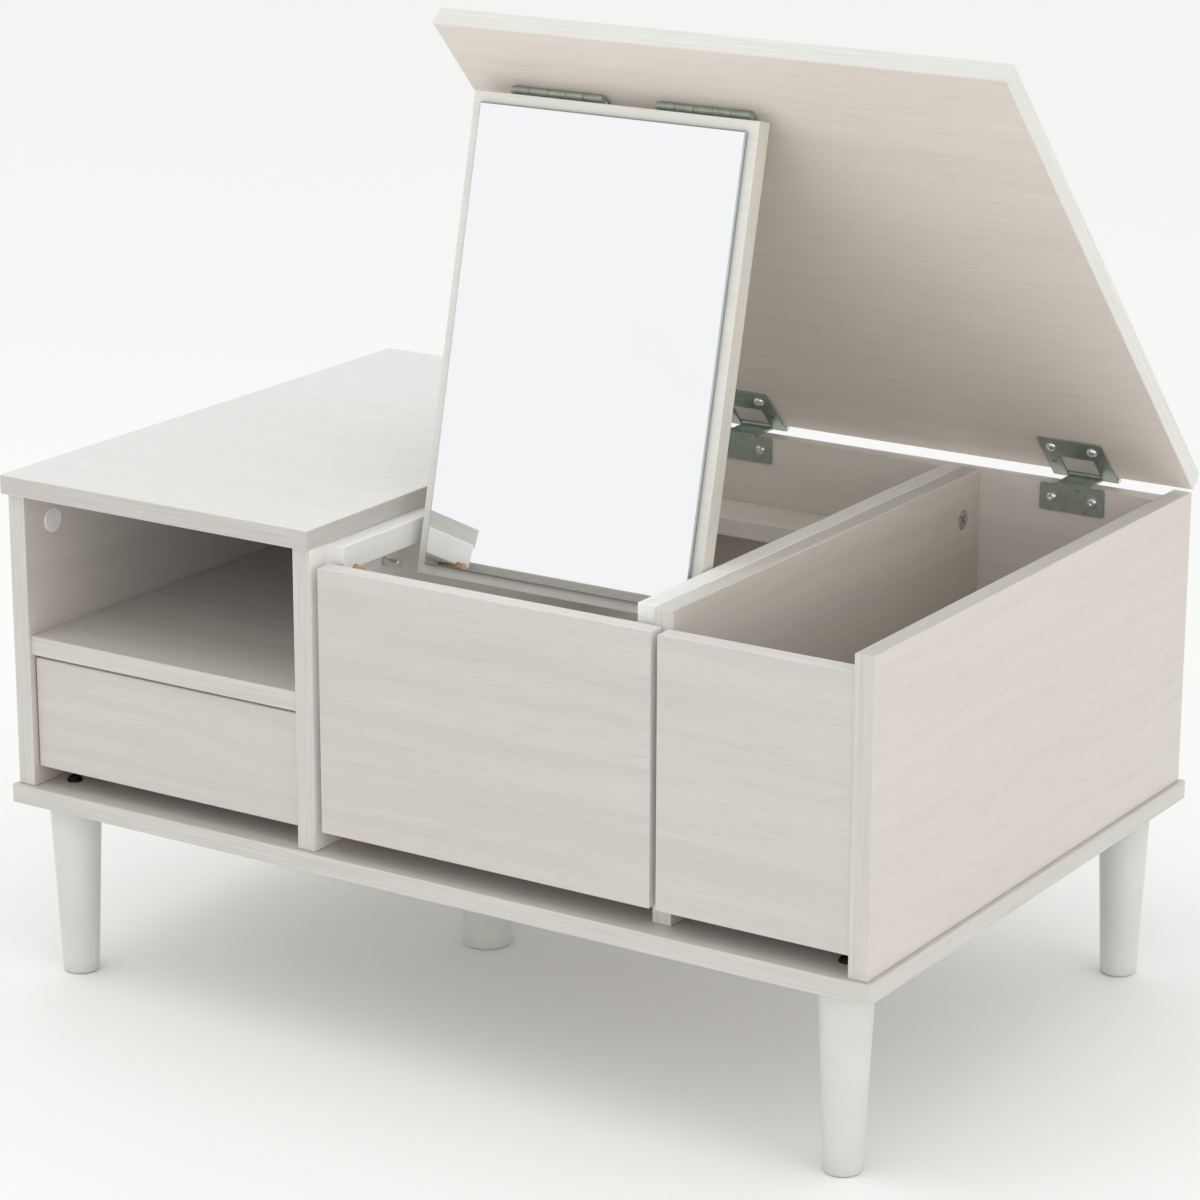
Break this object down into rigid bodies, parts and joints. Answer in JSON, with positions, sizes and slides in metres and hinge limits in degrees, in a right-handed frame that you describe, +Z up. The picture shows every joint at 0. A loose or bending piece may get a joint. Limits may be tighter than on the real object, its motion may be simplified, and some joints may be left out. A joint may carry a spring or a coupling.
{
  "type": "vanity table",
  "caption": "Low laminated cabinet on tapered legs with an open cubby, drawers, a deep bin and a hinged lid that carries a folding mirror.",
  "frame": {"origin": "on the floor under the middle of the cabinet", "axes": "+X to the right seen from the front, +Y to the back (the fronts face -Y), +Z up"},
  "size_m": [0.75, 0.5, 0.7524],
  "materials": {
    "laminate_white": "white laminated board, fine satin grain",
    "laminate_greige": "warm light grey laminated board, fine horizontal grain",
    "leg_paint": "turned wood, off-white satin paint",
    "raw_beech": "raw fluted beech dowel",
    "strip_wood": "raw pale softwood strip",
    "drawer_board": "pale drawer board",
    "hinge_steel": "zinc plated, greenish grey",
    "pin_steel": "bright plated steel",
    "black_steel": "black coated bolt head",
    "cam_zinc": "die-cast zinc, matt",
    "cap_plastic": "white plastic cover cap",
    "mirror_glass": "silvered mirror glass"
  },
  "bodies": {
    "cabinet": {"base_slab": "laminate_greige", "left_side_panel": "laminate_greige", "right_side_panel": "laminate_greige", "back_panel": "laminate_greige", "left_divider": "laminate_greige", "right_divider": "laminate_greige", "left_top_board": "laminate_white", "cubby_shelf": "laminate_greige", "left_lid_rail": "laminate_white", "right_lid_rail": "laminate_white", "well_floor": "laminate_greige", "well_ledge": "laminate_greige", "bin_floor": "laminate_greige", "right_front_panel": "laminate_greige", "leg_front_left": "leg_paint", "leg_front_right": "leg_paint", "leg_back_right": "leg_paint", "leg_back_left": "leg_paint", "centre_leg": "leg_paint", "leg_bolt_front_left": "black_steel", "leg_bolt_front_right": "black_steel", "leg_bolt_back_right": "black_steel", "leg_bolt_back_left": "black_steel", "left_peg": "raw_beech", "right_peg": "raw_beech", "left_rest_pin": "pin_steel", "right_rest_pin": "pin_steel", "cam_lock": "cam_zinc", "cam_cover_cap": "cap_plastic", "left_drawer_runner_left": "strip_wood", "left_drawer_runner_right": "strip_wood", "middle_drawer_runner_left": "strip_wood", "middle_drawer_runner_right": "strip_wood", "lid_hinge_left_lower_leaf": "hinge_steel", "lid_hinge_right_lower_leaf": "hinge_steel"},
    "lid": {"lid_board": "laminate_greige", "lid_hinge_left_upper_leaf": "hinge_steel", "lid_hinge_right_upper_leaf": "hinge_steel", "mirror_hinge_left_lid_leaf": "hinge_steel", "mirror_hinge_right_lid_leaf": "hinge_steel", "lid_hinge_left_pin": "pin_steel", "lid_hinge_right_pin": "pin_steel", "mirror_hinge_left_pin": "pin_steel", "mirror_hinge_right_pin": "pin_steel"},
    "mirror": {"mirror_board": "laminate_greige", "mirror_glass": "mirror_glass", "mirror_hinge_left_mirror_leaf": "hinge_steel", "mirror_hinge_right_mirror_leaf": "hinge_steel"},
    "left_drawer": {"left_drawer_front": "laminate_greige", "left_drawer_left_side": "drawer_board", "left_drawer_right_side": "drawer_board", "left_drawer_back": "drawer_board", "left_drawer_bottom": "drawer_board"},
    "middle_drawer": {"middle_drawer_front": "laminate_greige", "middle_drawer_left_side": "drawer_board", "middle_drawer_right_side": "drawer_board", "middle_drawer_back": "drawer_board", "middle_drawer_bottom": "drawer_board"}
  },
  "joints": [
    {"name": "lid_hinge", "type": "hinge", "parent": "cabinet", "child": "lid", "pos_m": [0.144, 0.2427, 0.3865], "axis": [1, 0, 0], "range_deg": [0, 47]},
    {"name": "mirror_hinge", "type": "hinge", "parent": "lid", "child": "mirror", "pos_m": [0.0515, -0.04881, 0.69236], "axis": [1, 0, 0], "range_deg": [0, 56.1]},
    {"name": "left_drawer_slide", "type": "slide", "parent": "cabinet", "child": "left_drawer", "axis": [0, -1, 0], "range_m": [0, 0.3]},
    {"name": "middle_drawer_slide", "type": "slide", "parent": "cabinet", "child": "middle_drawer", "axis": [0, -1, 0], "range_m": [0, 0.3]}
  ],
  "couplings": [
    {"joint": "mirror_hinge", "follows": "lid_hinge", "ratio": 1.1915}
  ]
}
